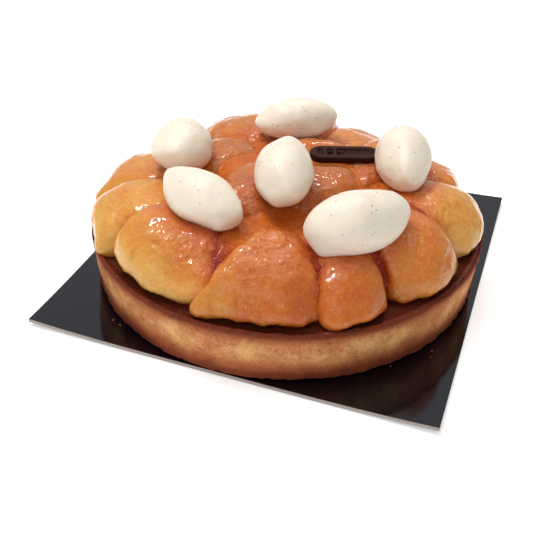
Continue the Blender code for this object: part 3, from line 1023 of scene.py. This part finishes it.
def make_shell():
    """The turned profile, roughened by noise: a crumbly rim and a ragged foot."""
    rings_r, rings_z, within = shell_profile()
    points, faces = revolve(rings_r, rings_z, SHELL_TURN)
    radius = np.hypot(points[:, 0], points[:, 1])
    far = [1.0, 1.0]     # a rim out of reach for the two points on the axis
    rim = np.append(np.tile(RIM_R, len(rings_r)), far)
    top = np.append(np.tile(RIM_Z, len(rings_r)), far)
    outer = step(radius, rim - 5 * MM, rim - 3 * MM)
    low = step(-(points[:, 2] - SHELL_BASE), -3.5 * MM, -0.6 * MM) * outer
    high = step(points[:, 2], top - 2.2 * MM, top - 0.4 * MM)
    rough = 0.30 * MM * cloud(points, 5 * MM, 31) + 0.16 * MM * cloud(points, 1.8 * MM, 32)
    rough = rough + low * (0.55 * MM + 0.5 * MM * cloud(points, 3.2 * MM, 33))
    out = outer * rough
    points[:, :2] *= (1.0 + out / np.maximum(radius, 1 * MM))[:, None]
    points[:, 2] += high * (0.45 * MM * cloud(points, 3.5 * MM, 34) + 0.35 * MM * cloud(points, 1.4 * MM, 35))
    inside = np.append(np.repeat(within, HEADINGS), [1.0, 0.0]).astype(float)
    lip = step(points[:, 2], top - 0.9 * MM, top - 0.4 * MM) * step(radius, rim - 2.6 * MM, rim - 1.8 * MM)
    return make_piece("shell", "crust", "baked_crust", points, faces, crust_look(), inside=inside, lip=lip)


print("shell:", len(make_shell().data.polygons), "faces")

# %% [markdown]
# ## The caramel in the shell
#
# What shows of the filling is a dark red-brown caramel, set in low bumps and
# creeping a little up the wall.

# %% Caramel
def caramel_look():
    look = Look("dark_caramel", IOR=1.45)
    cloudy = look.noise(4 * MM, 3.0, 0.6)
    colour = look.mix(cloudy, (0.045, 0.008, 0.005), (0.17, 0.032, 0.014))
    relief = look.relief((look.noise(2.2 * MM, 3.0), 0.5 * MM, 0.8))
    look.set(Base_Color=colour, Roughness=0.16 + 0.25 * cloudy, Normal=relief)
    return look.material


def make_caramel():
    """A disc that follows the wall, its top in low bumps that creep up at the edge."""
    wall = RIM_R - 1.5 * MM
    base = FILLING_LOW.z
    share = np.concatenate([np.linspace(0.02, 0.80, 40), np.linspace(0.81, 1.0, 40)])
    rings_r = np.concatenate([np.outer(share, wall), np.outer([0.97, 0.5, 0.05], wall)])
    top = np.full((len(share), HEADINGS), CARAMEL_Z)
    rings_z = np.concatenate([top, np.full((3, HEADINGS), base)])
    points, faces = revolve(rings_r, rings_z, SHELL_TURN)
    faces = faces[:, ::-1]
    radius = np.hypot(points[:, 0], points[:, 1])
    upper = points[:, 2] > CARAMEL_Z - MM
    bumps = 0.45 * MM * cloud(points, 5 * MM, 61) + 0.20 * MM * cloud(points, 2 * MM, 62) - 0.2 * MM
    creep = 1.7 * MM * step(radius, RIM_R.mean() - 6.0 * MM, RIM_R.mean() - 1.6 * MM)
    points[:, 2] += np.where(upper, bumps + creep, 0.0)
    return make_piece("caramel", "filling", "dark_caramel", points, faces, caramel_look())


print("caramel:", len(make_caramel().data.polygons), "faces")

# %% [markdown]
# ## The chocolate bar
#
# A moulded bar of dark chocolate lies on the fruit: a flat plate with round ends, a
# soft edge all round, a slot along its top and plain ribs across half of it. Its
# outline is the frame's own, taken from the bar's length and width.

# %% Chocolate
BAR_EDGE = 0.7 * MM
SLOT_DEPTH = 1.3 * MM
RIB_PITCH = 5.0 * MM


def chocolate_look():
    look = Look("dark_chocolate", IOR=1.45, Specular_IOR_Level=0.10)
    bloom = look.noise(5 * MM, 3.0)
    colour = look.mix(bloom, (0.020, 0.006, 0.004), (0.042, 0.013, 0.009))
    relief = look.relief((look.noise(0.9 * MM, 2.0), 0.05 * MM, 0.5))
    look.set(Base_Color=colour, Roughness=0.38 + 0.15 * bloom, Normal=relief)
    return look.material


def make_bar():
    """Rings that follow the outline: share 0 at the middle line to 1 at the edge, up
    over a rounded shoulder, down the side and under."""
    straight = BAR_LENGTH - BAR_WIDTH
    side, bend = np.linspace(-1, 1, 120), np.linspace(0, math.pi, 32)[1:-1]
    ends = np.concatenate([-side, np.full(30, -1.0), side, np.full(30, 1.0)])
    turn = np.concatenate([0 * side, bend, 0 * side + math.pi, bend + math.pi]) + math.pi / 2
    edge = BAR_EDGE / BAR_WIDTH
    rings = [(s, BAR_HIGH) for s in np.linspace(0.02, 1 - edge, 18)]
    rings += [(1 - edge * (1 - math.sin(a)), BAR_HIGH - BAR_EDGE * (1 - math.cos(a)))
              for a in np.linspace(0.2, math.pi / 2, 6)]
    rings += [(1.0, BAR_LOW + 0.3 * MM), (0.97, BAR_LOW), (0.5, BAR_LOW), (0.02, BAR_LOW)]
    rows = []
    for share, height in rings:
        x = straight * ends + share * BAR_WIDTH * np.cos(turn)
        y = share * BAR_WIDTH * np.sin(turn)
        half = step(-x, 0.1 * BAR_LENGTH, 0.15 * BAR_LENGTH)
        rib = step(np.cos(x * 2 * math.pi / RIB_PITCH), 0.1, 0.5) * half
        slot = step(-share, -0.58, -0.46) * (1.0 - rib) * (height > BAR_LOW + MM)
        flat = BAR_MIDDLE + np.outer(x, BAR_ALONG) + np.outer(y, (-BAR_ALONG[1], BAR_ALONG[0]))
        rows.append(np.column_stack([flat, height - SLOT_DEPTH * slot]))
    ends = [rows[0].mean(axis=0)[None], rows[-1].mean(axis=0)[None]]
    points = np.concatenate(rows + ends)
    faces = ring_faces(len(rows), len(turn))
    return make_piece("chocolate_bar", "chocolate", "dark_chocolate", points, faces, chocolate_look())


print("chocolate:", len(make_bar().data.polygons), "faces")

# %% [markdown]
# ## The card
#
# A cake card is grey board with a glossy black film on top. The film mirrors the
# room, so it looks slate where it faces the light and black where it faces the
# tart. The cut edge shows the pale board.

# %% Card
CARD_CELLS = 120
CARD_BEVEL = 0.15 * MM
FILM_EDGE = 0.10 * MM


def card_look():
    look = Look("black_card", IOR=1.5)
    cut = look.attribute("cut")
    fleck = look.noise(0.6 * MM, 2.0, 0.7)
    board = look.mix(fleck, (0.22, 0.175, 0.150), (0.50, 0.430, 0.390))
    film = look.mix(look.noise(30 * MM, 2.0), (0.0008, 0.0008, 0.003), (0.0016, 0.0016, 0.005))
    relief = look.relief((look.noise(22 * MM, 2.0), 0.12 * MM, 0.25))
    look.set(Base_Color=look.mix(cut, film, board), Roughness=0.10 + 0.6 * cut, Normal=relief)
    return look.material


def make_card():
    """A square grid above and one below, and two rings between them round the cut
    edge. Outside the circle that touches the sides, the card rises towards its
    corners with the square of the distance, as far as the node's own corners."""
    node = node_points("card")
    low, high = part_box("card")
    centre = np.array([(low.x + high.x) / 2, (low.y + high.y) / 2])
    half = (high.x - low.x) / 2
    thick = node[np.abs(node[:, 0] - centre[0]) < half * 0.3][:, 2].max()
    side = np.linspace(-1, 1, CARD_CELLS + 1)
    x, y = (grid.ravel() for grid in np.meshgrid(side, side, indexing="ij"))
    free = np.maximum(np.hypot(x, y) - 1.0, 0.0) / (math.sqrt(2.0) - 1.0)
    lift = (high.z - thick) * free ** 2

    def layer(pick, reach, height):
        flat = [centre[0] + x[pick] * reach, centre[1] + y[pick] * reach]
        return np.column_stack([*flat, height + lift[pick]])

    whole = np.arange(len(x))
    index = whole.reshape(CARD_CELLS + 1, CARD_CELLS + 1)
    quad = grid_quads(index).reshape(-1, 4)
    border = np.concatenate([index[:-1, 0], index[-1, :-1], index[:0:-1, -1], index[0, :0:-1]])
    points = np.concatenate([
        layer(whole, half - CARD_BEVEL, thick), layer(whole, half - CARD_BEVEL, 0.0),
        layer(border, half, thick - FILM_EDGE), layer(border, half, CARD_BEVEL)])
    ring = 2 * len(whole) + np.arange(len(border))
    rims = [border, ring, ring + len(border), border + len(whole)]
    faces = [quad, quad[:, ::-1] + len(whole)]
    for upper, lower in zip(rims[:-1], rims[1:]):
        faces.append(np.stack([upper, lower, np.roll(lower, -1), np.roll(upper, -1)], axis=1))
    faces = np.concatenate(faces)
    cut = np.zeros(len(points))
    cut[2 * len(whole):] = 1.0
    piece = make_piece("card_film", "card", "black_card", points, faces, card_look(), cut=cut)
    piece.data.set_sharp_from_angle(angle=math.radians(30))
    return piece


print("card:", len(make_card().data.polygons), "faces")

# %% [markdown]
# ## Crumbs
#
# A few crumbs of crust have dropped on the card beside the tart. They are the same
# small grains as the seeds, about twice the size.

# %% Crumbs
def make_crumbs():
    """Grains on the card at chosen headings, a few millimetres outside the foot."""
    rng = np.random.default_rng(77)
    turn = np.radians([235, 238, 262, 318, 329, 331, 40, 118, 190])
    radius = FOOT_R.mean() + np.array([3.4, 2.6, 1.8, 2.2, 7.5, 5.0, 3.0, 2.5, 2.0]) * MM
    spots = np.column_stack([radius * np.cos(turn), radius * np.sin(turn), np.full(len(turn), SHELL_BASE)])
    up = np.tile((0.0, 0.0, 1.0), (len(turn), 1))
    grains, faces = scatter(spots, up, rng.uniform(0.35, 0.7, len(turn)) * MM, rng)
    look = cloudy_look("crust_crumb", 1 * MM, (0.30, 0.12, 0.04), (0.70, 0.42, 0.16), Roughness=0.8)
    make_piece("crumbs", None, "baked_crust", grains, faces, look.material, smooth=False)
    return len(turn)


print("crumbs:", make_crumbs())

# %% [markdown]
# ## The floor
#
# A plain pale sweep under the card, so that only the object draws the eye.

# %% Floor
def make_floor(half=6.0, below=0.2 * MM):
    """A square that reaches half metres each way, just under the card."""
    points = half * np.array([(-1, -1, 0), (1, -1, 0), (1, 1, 0), (-1, 1, 0)]) - (0, 0, below)
    look = cloudy_look("pale_floor", 0.4, (0.93, 0.93, 0.93), (0.95, 0.95, 0.95), Roughness=0.9,
                       Specular_IOR_Level=0.0, Emission_Strength=0.42, Emission_Color=(1.0, 1.0, 1.0, 1.0))
    make_mesh("floor", points, np.array([(0, 1, 2, 3)]), look.material, smooth=False)


make_floor()
print("floor set")
